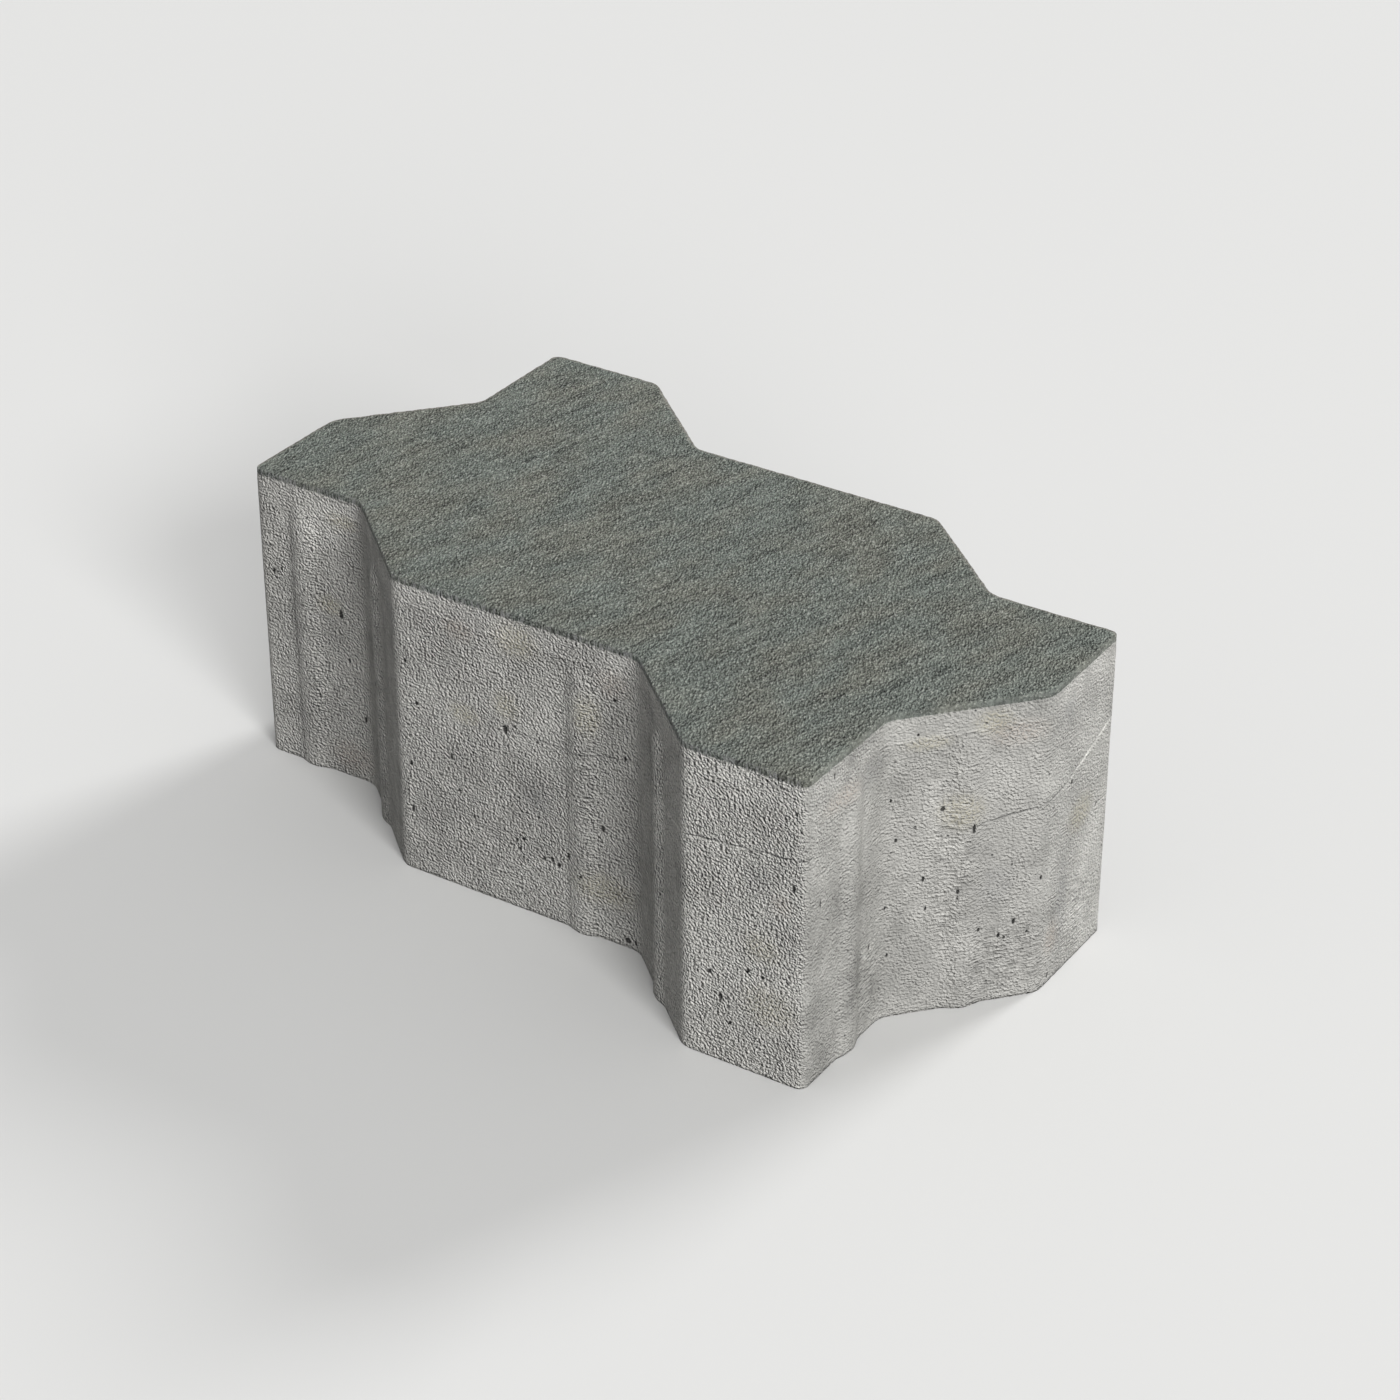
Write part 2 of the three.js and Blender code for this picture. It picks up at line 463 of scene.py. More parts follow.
# The lip is a painted highlight along the step at the fill line, the shadow a painted shadow
LIP_HIGHLIGHT_TONE = 0.20
SHADOW_TONE = -0.16

# How the lines wander up and down, and where they are weaker
WANDER = {"size": (5, 50, 1), "detail": 3.0}
WANDER_REACH = 0.7
BREAKS = {"size": (6, 50, 1), "detail": 2.0}
BREAK_STRENGTHS = ((0.35, 0.55), (0.4, 1.0))

# Band above the fill line: heights off the line over which it begins, how proud it stands and
# how much of the grain it keeps
BAND_FOOT = (-0.1, 0.3)
BAND_HEIGHT = 0.12
BAND_GRAIN = 0.8

# Pinholes, too small for the mesh: size of the cells that may hold one, and its radius in
# cells, which goes by the cell's random number. Where the side is pitted they are wider.
PINHOLE_CELL = (2.6, 2.6, 1)
PINHOLE_RADII = ((0.45, 1.0), (0.0, 0.12))
PINHOLE_EDGE = 0.03
PINHOLE_GROWTH = (1.0, 1.6)
PINHOLE_HEIGHT = -0.3

# Strength and grey of the painted shade in the crack, the pinholes and the air holes, and the
# share of an air hole's depth over which it turns dark
CRACK_PAINTED_SHADE = (0.65, 0.10)
PINHOLE_PAINTED_SHADE = (0.75, 0.09)
HOLE_PAINTED_SHADE = (0.9, 0.025)
HOLE_DARKENING = (0.04, 0.30)

# Finish of the wearing face, in the same terms. Its painted light way is the way from the flank
# of a grain painted in shade to the one painted lit.
STREAKS = {"size": (3.2, 17, 8), "detail": 2.5, "roughness": 0.6}
STREAK_TONES = (0.127, 0.201)
SCRATCHES = {"size": (0.9, 8, 0.9), "detail": 1.5, "roughness": 0.6}
SCRATCH_TONES = ((0.32, 0.68), (-0.040, 0.046))
FACE_GRAIN = {
    "size": (0.50, 0.82, 0.50),
    "detail": 1.5,
    "roughness": 0.6,
    "turn": math.radians(-37),
}
FACE_PAINTED_LIGHT_WAY = (0.12, -0.03, 0.0)
FACE_GRAIN_TONES = ((0.34, 0.66), (-0.075, 0.085))
FACE_GRAIN_HEIGHTS = (0.0, 0.80)
# Painted light and shade on the flanks of the grain
FACE_PAINTED_LIGHT_TONES = (-0.24, 0.24)
FACE_ROUGHNESS = (0.92, 0.80)
TINTS = {"size": (13, 22, 13), "detail": 2.0}
GREEN_TO_BROWN = (0.40, 0.64)
GREEN = (0.90, 1.01, 0.90, 1.0)
BROWN = (0.97, 1.01, 0.86, 1.0)
BRIGHT_GRAIN = (0.50, 0.51, 0.46, 1.0)
BRIGHT_SHARES = ((0.61, 0.73), (0.0, 0.80))
# Colour of the painted highlight on the rim, and the grain over which it shows
RIM_HIGHLIGHT_GRAIN = (0.36, 0.34, 0.29, 1.0)
RIM_HIGHLIGHT_SHARES = ((0.35, 0.6), (0.3, 0.8))

# Where its rim isn't ragged it is smooth, and keeps less of the grain
RAGGED_TO_SMOOTH = ((0.25, 1.0), (1.0, 0.0))
SMOOTH_RIM_GRAIN = (1.0, 0.35)

# Ragged foot of the wearing layer: its teeth, and how sharp their outline is
TEETH = {"size": (0.5, 3.0, 1), "detail": 1.0}
TOOTH_LENGTH = 0.35
FOOT_BLUR = 0.1

# Fringe along that foot: how far above it the middle lies and over what distances it fades,
# where it is weaker, and its dashes, dark and pale, by the height of the teeth
FRINGE_RISE = 0.5
FRINGE_FADE = (0.5, 1.1)
FRINGE_BREAKS = {"size": (7, 30, 1), "detail": 1.0}
FRINGE_STRENGTHS = ((0.35, 0.65), (0.7, 1.0))
FRINGE_DASHES = [
    {"teeth": (0.55, 0.62), "strength": (0.0, 0.65), "grey": 0.055},
    {"teeth": (0.42, 0.50), "strength": (0.8, 0.0), "grey": 0.32},
]

SPECULAR = 0.25

# Camera: where it stands, what it looks at, its lens and the width of its sensor
CAMERA_PLACE = (553.1, -495.2, 478.7)
CAMERA_AIM = (7.4, 3.2, 40.0)
CAMERA_LENS = 92.45
SENSOR_WIDTH = 36.0

# Lamps: bearing in plan and elevation, in degrees, and distance, size and watts
LAMPS = {
    "key": {"bearing": -15, "elevation": 30, "distance": 20000, "size": 6000, "watts": 1860},
    "front": {"bearing": -30, "elevation": 15, "distance": 20000, "size": 6000, "watts": 1330},
    "back": {"bearing": 90, "elevation": 30, "distance": 20000, "size": 6000, "watts": 2080},
}
SURROUND = 0.42                 # grey that the world lights the stone with
FLOOR_BOUNCE = 0.10             # grey that the floor throws back at the stone
BACKDROP = (0.80, 0.80, 0.79, 1.0)
FLOOR_REACH = 4000.0


def unit(vector):
    return vector / np.linalg.norm(vector)


def outward_of(along):
    return np.array([along[1], -along[0]])


# --- Outline -----------------------------------------------------------------------------


def unit_sides():
    """Start, first bend and second bend of the three unit sides of one half of the stone."""
    sides = []
    half = UNIT_SIDE / 2
    for start, along in (
        ((-UNIT_SIDE, -half), (1.0, 0.0)),
        ((0.0, -half), (1.0, 0.0)),
        ((UNIT_SIDE, -half), (0.0, 1.0)),
    ):
        start = np.array(start)
        along = np.array(along)
        outward = outward_of(along)
        first = start + along * STRAIGHT_RUN - outward * STRAIGHT_SWING
        second = start + along * (UNIT_SIDE - STRAIGHT_RUN) + outward * STRAIGHT_SWING
        sides.append((start, first, second))
    return sides


def laying_corners():
    """Corners of the outline with its joint, each with its radius."""
    front, middle, end = unit_sides()
    half = [
        (front[0], CORNER_RADIUS),
        (front[1], INNER_BEND_RADIUS),
        (front[2], OUTER_BEND_RADIUS),
        (middle[1], INNER_BEND_RADIUS),
        (middle[2], OUTER_BEND_RADIUS),
        (end[0], CORNER_RADIUS),
        (end[1], INNER_BEND_RADIUS),
        (end[2], OUTER_BEND_RADIUS),
    ]
    return half + [(-point, radius) for point, radius in half]


def stone_corners():
    """The same corners moved in by half a joint, with the directions that meet there."""
    corners = laying_corners()
    moved = []
    for i, (point, radius) in enumerate(corners):
        arriving = unit(point - corners[i - 1][0])
        leaving = unit(corners[(i + 1) % len(corners)][0] - point)
        mitre = unit(outward_of(arriving) + outward_of(leaving))
        shift = JOINT_WIDTH / 2 / mitre.dot(outward_of(arriving))
        moved.append((point - mitre * shift, radius, arriving, leaving))
    return moved


def trace_outline():
    """Rows of station, x, y and the outward normal, close enough to interpolate between."""
    corners = stone_corners()
    rows = []
    station = 0.0
    for i in range(len(corners) + 1):
        point, radius, arriving, leaving = corners[i % len(corners)]
        if i > 0:
            station += np.linalg.norm(point - corners[i - 1][0])
        cross = arriving[0] * leaving[1] - arriving[1] * leaving[0]
        turn = math.atan2(cross, arriving.dot(leaving))
        bulge = math.copysign(radius, turn)
        reach = radius * math.tan(abs(turn) / 2)
        centre = point - arriving * reach - outward_of(arriving) * bulge
        for step in range(ARC_STEPS + 1):
            share = step / ARC_STEPS
            angle = math.atan2(arriving[1], arriving[0]) + turn * share
            normal = outward_of((math.cos(angle), math.sin(angle)))
            rows.append([station + reach * (2 * share - 1), *(centre + normal * bulge), *normal])
    return np.array(rows), station


OUTLINE, PERIMETER = trace_outline()


def on_outline(stations):
    """Points and outward normals of the rounded outline."""
    columns = [np.interp(stations, OUTLINE[:, 0], OUTLINE[:, i]) for i in range(1, 5)]
    points = np.stack(columns[:2], axis=1)
    normals = np.stack(columns[2:], axis=1)
    return points, normals / np.linalg.norm(normals, axis=1, keepdims=True)


def station_of(foot):
    """Station of a point on the sharp outline of the front or of the end."""
    corners = [point for point, *_ in stone_corners()]
    station = 0.0
    for corner, after in zip(corners, corners[1:]):
        length = np.linalg.norm(after - corner)
        along = (after - corner) / length
        reach = (foot - corner).dot(along)
        gap = abs((foot - corner).dot(outward_of(along)))
        if 0 <= reach <= length and gap < JOINT_WIDTH / 2:
            return station + reach
        station += length
    raise ValueError("the point is on neither the front nor the end")


def rib_stations():
    """Middle of every spacer rib, on both halves of the stone."""
    stations = []
    for (start, first, second), place in zip(unit_sides(), RIB_PLACES):
        for begin, finish, distance in (
            (start, first, place["straight"]),
            (first, second, place["slant"]),
        ):
            along = unit(finish - begin)
            foot = begin + along * distance - outward_of(along) * JOINT_WIDTH / 2
            stations.append(station_of(foot))
    return stations + [station + PERIMETER / 2 for station in stations]


# --- Skin --------------------------------------------------------------------------------


def smooth(share):
    share = np.clip(share, 0.0, 1.0)
    return share * share * (3 - 2 * share)


def around(marks):
    """Marks of the front and end, and the same in reverse order on the other two sides."""
    return list(marks) + [(PERIMETER - mark[0], *mark[1:]) for mark in marks]


def sunk(points, relief):
    """How deep a relief goes at each point."""
    shift = Vector((relief["offset"],) * 3)
    values = [noise.noise(Vector(point) / relief["size"] + shift) for point in points]
    return relief["depth"] * np.clip(0.5 + NOISE_SPREAD * np.array(values), 0.0, 1.0)


def rib_relief(stations, heights, thickness):
    """How far the ribs push the side out. At the run-out they sink into it."""
    relief = np.zeros(len(stations))
    painted_light = (RIB_FOOT_WIDTH - RIB_CREST_WIDTH) / 2
    rise = smooth((thickness - RIB_TOP_DROP - heights) / RIB_RUN_OUT)
    for middle in rib_stations():
        off = np.abs(stations - middle)
        profile = smooth((RIB_FOOT_WIDTH / 2 - off) / painted_light)
        relief = np.maximum(relief, RIB_PROUD * (profile + rise - 1))
    return relief


def hole_share(stations, heights):
    """1 at the bottom of an air hole, 0 from its rim outwards."""
    share = np.zeros(len(stations))
    for station, height, half_width, half_height in around(HOLES):
        across = (stations - station) / half_width
        up = (heights - height) / half_height
        share = np.maximum(share, smooth((HOLE_RIM - np.hypot(across, up)) / HOLE_WALL))
    return share


def patch_share(stations, heights, patches):
    """1 in the middle of a patch, 0 beyond its end."""
    share = np.zeros(len(stations))
    for station, height, half_length, half_height in around(patches):
        across = (stations - station) / half_length
        up = (heights - height) / half_height
        share = np.maximum(share, smooth(PATCH_REACH - np.hypot(across, up)))
    return share


def side_grid(top):
    """Stations and heights of the points that the side is modelled with."""
    random = np.random.default_rng(SEED)
    columns = round(PERIMETER / SIDE_STEP)
    arris = TOP_EDGE_RADIUS * math.pi / 2
    row_step = SIDE_STEP * math.sqrt(3) / 2
    rows = round((top - arris) / row_step)
    edge_rows = [(0.0, 0.0)]
    edge_rows += [(top - arris * k / ARRIS_ROWS, 0.5 * (k % 2)) for k in range(ARRIS_ROWS + 1)]
    grid = []
    for height, shift in edge_rows:
        fixed = height == 0.0 or height == top
        stations = (np.arange(columns + 1) + (0.0 if fixed else shift)) * PERIMETER / columns
        grid += [(station, height) for station in stations if station <= PERIMETER]
    inner = []
    for row in range(1, rows):
        height = (top - arris) * row / rows
        inner += [(0.0, height), (PERIMETER, height)]
        stations = (np.arange(1, columns) + 0.5 * (row % 2)) * PERIMETER / columns
        for station in stations[stations < PERIMETER - SIDE_STEP / 2]:
            wobble = random.uniform(-JITTER, JITTER, 2) * SIDE_STEP
            inner.append((station + wobble[0], height + wobble[1]))
    return np.array(grid), np.array(inner)


def clear_of_holes(points):
    """The points that lie outside the rings of every air hole."""
    keep = np.ones(len(points), bool)
    margin = HOLE_MARGIN * SIDE_STEP
    for station, height, half_width, half_height in around(HOLES):
        across = (points[:, 0] - station) / (half_width * HOLE_RINGS[-1] + margin)
        up = (points[:, 1] - height) / (half_height * HOLE_RINGS[-1] + margin)
        keep &= np.hypot(across, up) > 1.0
    return points[keep]


def hole_points():
    """Rings of points that shape every air hole."""
    points = []
    for station, height, half_width, half_height in around(HOLES):
        for ring, scale in enumerate(HOLE_RINGS):
            for spoke in range(HOLE_SPOKES if scale > 0 else 1):
                angle = 2 * math.pi * (spoke + 0.5 * (ring % 2)) / HOLE_SPOKES
                across = half_width * scale * math.cos(angle)
                up = half_height * scale * math.sin(angle)
                if height + up > HOLE_FLOOR:
                    points.append((station + across, height + up))
    return points


def triangles_of(points, edges=(), inside=False):
    """Points and triangles of a triangulation: of all of them, or of what the edges enclose."""
    flat = [Vector(point) for point in points]
    made = geometry.delaunay_2d_cdt(flat, list(edges), [], int(inside), CLOSE)
    faces, origins = made[2], made[3]
    return points[[origin[0] for origin in origins]], np.array([tuple(face) for face in faces])


def side_surface(thickness):
    """Grid coordinates, positions and triangles of the side, arris included."""
    top = thickness - TOP_EDGE_RADIUS + TOP_EDGE_RADIUS * math.pi / 2
    grid, inner = side_grid(top)
    inner = clear_of_holes(inner)
    grid, triangles = triangles_of(np.concatenate([grid, inner, hole_points()]))
    stations, heights = grid.T
    points, normals = on_outline(stations)
    angle = np.clip((heights - thickness + TOP_EDGE_RADIUS) / TOP_EDGE_RADIUS, 0.0, math.pi / 2)
    inset = TOP_EDGE_RADIUS * (1 - np.cos(angle))
    level = np.minimum(heights, thickness - TOP_EDGE_RADIUS) + TOP_EDGE_RADIUS * np.sin(angle)
    places = np.column_stack([points - normals * inset[:, None], level])
    facing = np.column_stack([normals * np.cos(angle)[:, None], np.sin(angle)])
    push = rib_relief(stations, heights, thickness) - HOLE_DEPTH * hole_share(stations, heights)
    push -= sunk(places, CAST_RELIEF) + sunk(places, SWELL_RELIEF)
    near_edge = smooth((heights - thickness + 2 * FRAY_HEIGHT) / FRAY_HEIGHT)
    push -= near_edge * sunk(places, FRAY_RELIEF)
    places += facing * push[:, None]
    places[:, 2] = np.where(heights > 0, places[:, 2], 0.0)
    return grid, places, triangles, top


def inside_ring(points, ring):
    """Whether each point lies inside the closed ring."""
    x, y = points.T
    within = np.zeros(len(points), bool)
    for (x0, y0), (x1, y1) in zip(ring, np.roll(ring, -1, axis=0)):
        if y0 == y1:
            continue
        crosses = (y0 > y) != (y1 > y)
        within ^= crosses & (x < x0 + (y - y0) * (x1 - x0) / (y1 - y0))
    return within


def cap_points(step, inset):
    """Jittered points of a flat face, kept the given distance inside the outline."""
    random = np.random.default_rng(SEED + 1)
    stations = np.arange(0.0, PERIMETER, RING_STEP)
    points, normals = on_outline(stations)
    ring = points - normals * inset
    low, high = ring.min(axis=0), ring.max(axis=0)
    rows = []
    for row, y in enumerate(np.arange(low[1], high[1], step * math.sqrt(3) / 2)):
        x = np.arange(low[0], high[0], step) + 0.5 * step * (row % 2)
        rows.append(np.column_stack([x, np.full(len(x), y)]))
    grid = np.concatenate(rows)
    grid += random.uniform(-JITTER, JITTER, grid.shape) * step
    return grid[inside_ring(grid, ring)]


def cap_surface(ring, inner, upwards):
    """Triangles over ring points and inner points; ring points come first and stay put."""
    count = len(ring)
    edges = [(i, (i + 1) % count) for i in range(count)]
    flat, triangles = triangles_of(np.concatenate([ring, inner]), edges, inside=True)
    if not upwards:
        triangles = triangles[:, ::-1]
    return flat, triangles


def face_places(inner, thickness):
    """Points of the wearing face, each sunk by its relief."""
    places = np.column_stack([inner, np.full(len(inner), thickness)])
    places[:, 2] -= sunk(places, FACE_RELIEF) + sunk(places, SWELL_RELIEF)
    return places


def bed_places(inner):
    """Points of the bed face, each raised by its relief."""
    places = np.column_stack([inner, np.zeros(len(inner))])
    places[:, 2] += sunk(places, BED_RELIEF)
    return places


def seam_joined(grid):
    """Number of the point that stands for each one of the side. Both ends of the side are the
    same line, so its last points give way to its first."""
    first = {round(height, 4): i for i, (station, height) in enumerate(grid) if station == 0.0}
    stands_for = np.arange(len(grid))
    for i, (station, height) in enumerate(grid):
        if station == PERIMETER:
            stands_for[i] = first[round(height, 4)]
    return stands_for


def stone_mesh(thickness):
    """The whole skin: side, wearing face and bed, sharing their edge points."""
    grid, side, side_triangles, top = side_surface(thickness)
    faces = [seam_joined(grid)[side_triangles]]
    places = [side]
    flat = np.column_stack([grid, np.zeros(len(grid))])
    corner_flat = [flat[side_triangles]]
    total = len(side)

    for level, step, inset in ((top, TOP_STEP, TOP_EDGE_RADIUS), (0.0, BED_STEP, 0.0)):
        on_level = np.flatnonzero((grid[:, 1] == level) & (grid[:, 0] < PERIMETER))
        on_level = on_level[np.argsort(grid[on_level, 0])]
        inner = cap_points(step, inset + CAP_MARGIN * step)
        cap, triangles = cap_surface(side[on_level, :2], inner, upwards=level > 0)
        inner = cap[len(on_level):]
        index = np.concatenate([on_level, total + np.arange(len(inner))])
        faces.append(index[triangles])
        places.append(face_places(inner, thickness) if level > 0 else bed_places(inner))
        corner_flat.append(np.column_stack([cap, np.zeros(len(cap))])[triangles])
        total += len(inner)

    return np.concatenate(places), np.concatenate(faces), np.concatenate(corner_flat), grid


def add_floats(mesh, name, values):
    """One number for each point of the mesh."""
    layer = mesh.attributes.new(name, "FLOAT", "POINT")
    layer.data.foreach_set("value", values.astype(np.float32))


def mark_attributes(mesh, grid, count, thickness):
    """What the material needs to know of the side at each point. The caps have no marks."""
    stations, heights = grid.T
    within = stations % (PERIMETER / 2)

    def from_list(rows, column=1, at=within):
        rows = np.array(rows)
        return np.interp(at, rows[:, 0], rows[:, column])

    rim = smooth((heights - thickness + RIM_HEIGHT + RIM_FADE) / RIM_FADE)
    marks = {"hole": hole_share(stations, heights)}
    for name, patches in PATCHES.items():
        marks[name] = patch_share(stations, heights, patches)
    marks |= {
        "ragged": from_list(RAGGED),
        "rough": from_list(ROUGH),
        "tone_and_painted_light": from_list(BODY_TONE_AND_PAINTED_LIGHT),
        "painted_light_along": from_list(PAINTED_LIGHT_WAY, 1),
        "painted_light_up": from_list(PAINTED_LIGHT_WAY, 2),
        "crack_off": heights - from_list(CRACK, 1),
        "crack": from_list(CRACK, 2),
        "ledge": from_list(CRACK, 3),
        "line_off": heights - from_list(FILL_LINE, 1),
        "line": from_list(FILL_LINE, 2),
        "rim": rim,
        "rim_highlight": rim * from_list(PAINTED_RIM_HIGHLIGHT, 1, stations),
    }
    for name, values in marks.items():
        whole = np.zeros(count)
        whole[: len(grid)] = values
        add_floats(mesh, name, whole)


def build_stone():
    """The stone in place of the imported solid, with where each corner lies on the side."""
    low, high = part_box("paving_stone")
    thickness = (high.z - low.z) * METRES
    places, faces, corner_flat, grid = stone_mesh(thickness)
    used = np.unique(faces)
    renumber = np.full(len(places), -1)
    renumber[used] = np.arange(len(used))
    mesh = bpy.data.meshes.new("stone_body")
    mesh.from_pydata((places[used] * MM).tolist(), [], renumber[faces].tolist())
    layer = mesh.attributes.new("face_mm", "FLOAT_VECTOR", "CORNER")
    layer.data.foreach_set("vector", corner_flat.astype(np.float32).ravel())
    side_points = used[used < len(grid)]
    mark_attributes(mesh, grid[side_points], len(used), thickness)
    mesh.shade_smooth()
    mesh.materials.append(stone_material(thickness))
    stone = bpy.data.objects.new("stone_body", mesh)
    bpy.context.scene.collection.objects.link(stone)
    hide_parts("paving_stone")
    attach(stone, "root")


# --- Materials ---------------------------------------------------------------------------


class Graph:
    """Adds and links the nodes of one node tree."""

    def __init__(self, owner):
        owner.use_nodes = True
        self.tree = owner.node_tree
        self.tree.nodes.clear()

    def add(self, kind, inputs=None, output=0, **settings):
        """A node with its settings and inputs; returns one of its outputs."""
        node = self.tree.nodes.new(kind)
        for name, value in settings.items():
            setattr(node, name, value)
        for key, value in (inputs or {}).items():
            if isinstance(value, bpy.types.NodeSocket):
                self.tree.links.new(value, node.inputs[key])
            else:
                node.inputs[key].default_value = value
        return node.outputs[output] if node.outputs else node

    def math(self, operation, a, b=0.0):
        return self.add("ShaderNodeMath", {0: a, 1: b}, operation=operation)

    def chain(self, operation, terms):
        """The result of the operation on the first two terms, then on that and the next."""
        result = terms[0]
        for term in terms[1:]:
            result = self.math(operation, result, term)
        return result

    def total(self, *terms):
        return self.chain("ADD", terms)

    def product(self, *factors):
        return self.chain("MULTIPLY", factors)

    def difference(self, a, b):
        return self.math("SUBTRACT", a, b)

    def remap(self, value, source, target=(0.0, 1.0)):
        """value moved from the range source to the range target, and held inside it."""
        inputs = {0: value, 1: source[0], 2: source[1], 3: target[0], 4: target[1]}
        return self.add("ShaderNodeMapRange", inputs)

    def mix(self, share, first, second):
        """The first colour where share is 0, the second where it is 1."""
        inputs = {0: share, 6: first, 7: second}
        return self.add("ShaderNodeMix", inputs, output=2, data_type="RGBA")

    def blend(self, share, first, second):
        """The first number where share is 0, the second where it is 1."""
        inputs = {0: share, 2: first, 3: second}
        return self.add("ShaderNodeMix", inputs, data_type="FLOAT")

    def attribute(self, name, output="Fac"):
        return self.add("ShaderNodeAttribute", output=output, attribute_name=name)

    def counted(self, vector, sizes, turn=0.0):
        """Coordinates turned in the plane and counted in lumps of the given sizes."""
        turned = self.add("ShaderNodeMapping", {"Vector": vector, "Rotation": (0.0, 0.0, turn)})
        scale = tuple(1 / size for size in sizes)
        return self.add("ShaderNodeMapping", {"Vector": turned, "Scale": scale})

    def noise(self, vector, size, detail, roughness=0.5, distortion=0.0, turn=0.0):
        """Noise from 0 to 1, in lumps of about the given size."""
        inputs = {
            "Vector": self.counted(vector, size, turn),
            "Scale": 1.0,
            "Detail": detail,
            "Roughness": roughness,
            "Distortion": distortion,
        }
        return self.add("ShaderNodeTexNoise", inputs)


def shade_of(grey, red=0.0, blue=0.0):
    """A linear colour from its green level and how far red and blue differ from it."""
    return (grey * (1 + red), grey, grey * (1 + blue), 1.0)


def painted(graph, colour, mark, paint):
    """The colour with a mark on it, given by its strength and its grey."""
    strength, grey = paint
    return graph.mix(graph.product(mark, strength), colour, shade_of(grey))


def stained(graph, colour, speckle):
    """The body colour with its stains, each broken up into specks."""
    for mark, (tint, most) in STAINS.items():
        share = graph.remap(speckle, STAIN_SPECKS, (STAIN_LEAST * most, most))
        colour = graph.mix(graph.product(graph.attribute(mark), share), colour, tint)
    return colour


def line_share(graph, off, line):
    """1 on a line, 0 away from it."""
    middle, inner, outer = line
    away = graph.math("ABSOLUTE", graph.difference(off, middle))
    return graph.remap(away, (inner, outer), (1.0, 0.0))


def crack_and_fill_shares(graph, flat):
    """Where the side has the crack, its ledge, the band above the fill line, the painted
    highlight along the band's foot and the painted shadow under that."""
    wander = graph.remap(graph.noise(flat, **WANDER), (0, 1), (-WANDER_REACH, WANDER_REACH))
    broken = graph.remap(graph.noise(flat, **BREAKS), *BREAK_STRENGTHS)

    def share(off, line, mark):
        return graph.product(line_share(graph, off, line), broken, graph.attribute(mark))

    off_crack = graph.total(graph.attribute("crack_off"), wander)
    off_fill = graph.difference(graph.attribute("line_off"), wander)
    return (
        share(off_crack, CRACK_LINE, "crack"),
        share(off_crack, LEDGE_LINE, "ledge"),
        graph.remap(off_fill, BAND_FOOT),
        share(off_fill, LIP_HIGHLIGHT_LINE, "line"),
        share(off_fill, SHADOW_LINE, "line"),
    )


def rib_painted_shade_and_highlight(graph, flat):
    """Tone of the painted shade and highlight down the ribs, fading out where the ribs do."""
    station = graph.add("ShaderNodeSeparateXYZ", {0: flat}, output=0)
    height = graph.add("ShaderNodeSeparateXYZ", {0: flat}, output=1)
    within = graph.math("MODULO", station, PERIMETER / 2)
    tone = 0.0
    for middle, half_width, paler in RIB_PAINTED_SHADE_AND_HIGHLIGHT:
        line = line_share(graph, within, (middle, RIB_LINE_CORE * half_width, half_width))
        tone = graph.total(tone, graph.product(line, paler))
    return graph.product(tone, graph.remap(height, RIB_LINE_FADE, (1.0, 0.0)))


def grain_and_painted_light(graph, place, light_way, grain):
    """Height of the grain, and painted light and shade on its flanks along the given way."""
    ahead = graph.add("ShaderNodeVectorMath", {0: place, 1: light_way}, operation="ADD")
    here, beyond = (graph.noise(spot, **grain) for spot in (place, ahead))
    return here, graph.difference(here, beyond)


def pinhole_share(graph, flat):
    """1 inside the pinholes."""
    cells = {"Vector": graph.counted(flat, PINHOLE_CELL), "Scale": 1.0}
    distance = graph.add("ShaderNodeTexVoronoi", cells)
    number = graph.add("ShaderNodeSeparateXYZ", {0: distance.node.outputs["Color"]})
    radius = graph.product(
        graph.remap(number, *PINHOLE_RADII),
        graph.remap(graph.attribute("pitted"), (0.0, 1.0), PINHOLE_GROWTH),
    )
    outside = graph.difference(distance, radius)
    return graph.remap(outside, (-PINHOLE_EDGE, PINHOLE_EDGE), (1.0, 0.0))


def side_grain(graph, flat):
    """Height of the side's grain and the painted light on its flanks, turned by where it is."""
    along, up = graph.attribute("painted_light_along"), graph.attribute("painted_light_up")
    light_way = graph.add("ShaderNodeCombineXYZ", {0: along, 1: up})
    return grain_and_painted_light(graph, flat, light_way, SIDE_GRAIN)


def grain_strength(graph, band, mottle):
    """How strong the side's grain is: weaker in the band, and uneven with the mottle."""
    return graph.product(
        graph.blend(band, 1.0, BAND_GRAIN),
        graph.attribute("rough"),
        graph.remap(mottle, *MOTTLE_ON_GRAIN),
    )


def marked(graph, colour, crack, pinholes):
    """The body colour with painted shade in its crack, its pinholes and its air holes."""
    hole = graph.remap(graph.attribute("hole"), HOLE_DARKENING)
    colour = painted(graph, colour, crack, CRACK_PAINTED_SHADE)
    colour = painted(graph, colour, pinholes, PINHOLE_PAINTED_SHADE)
    return painted(graph, colour, hole, HOLE_PAINTED_SHADE)


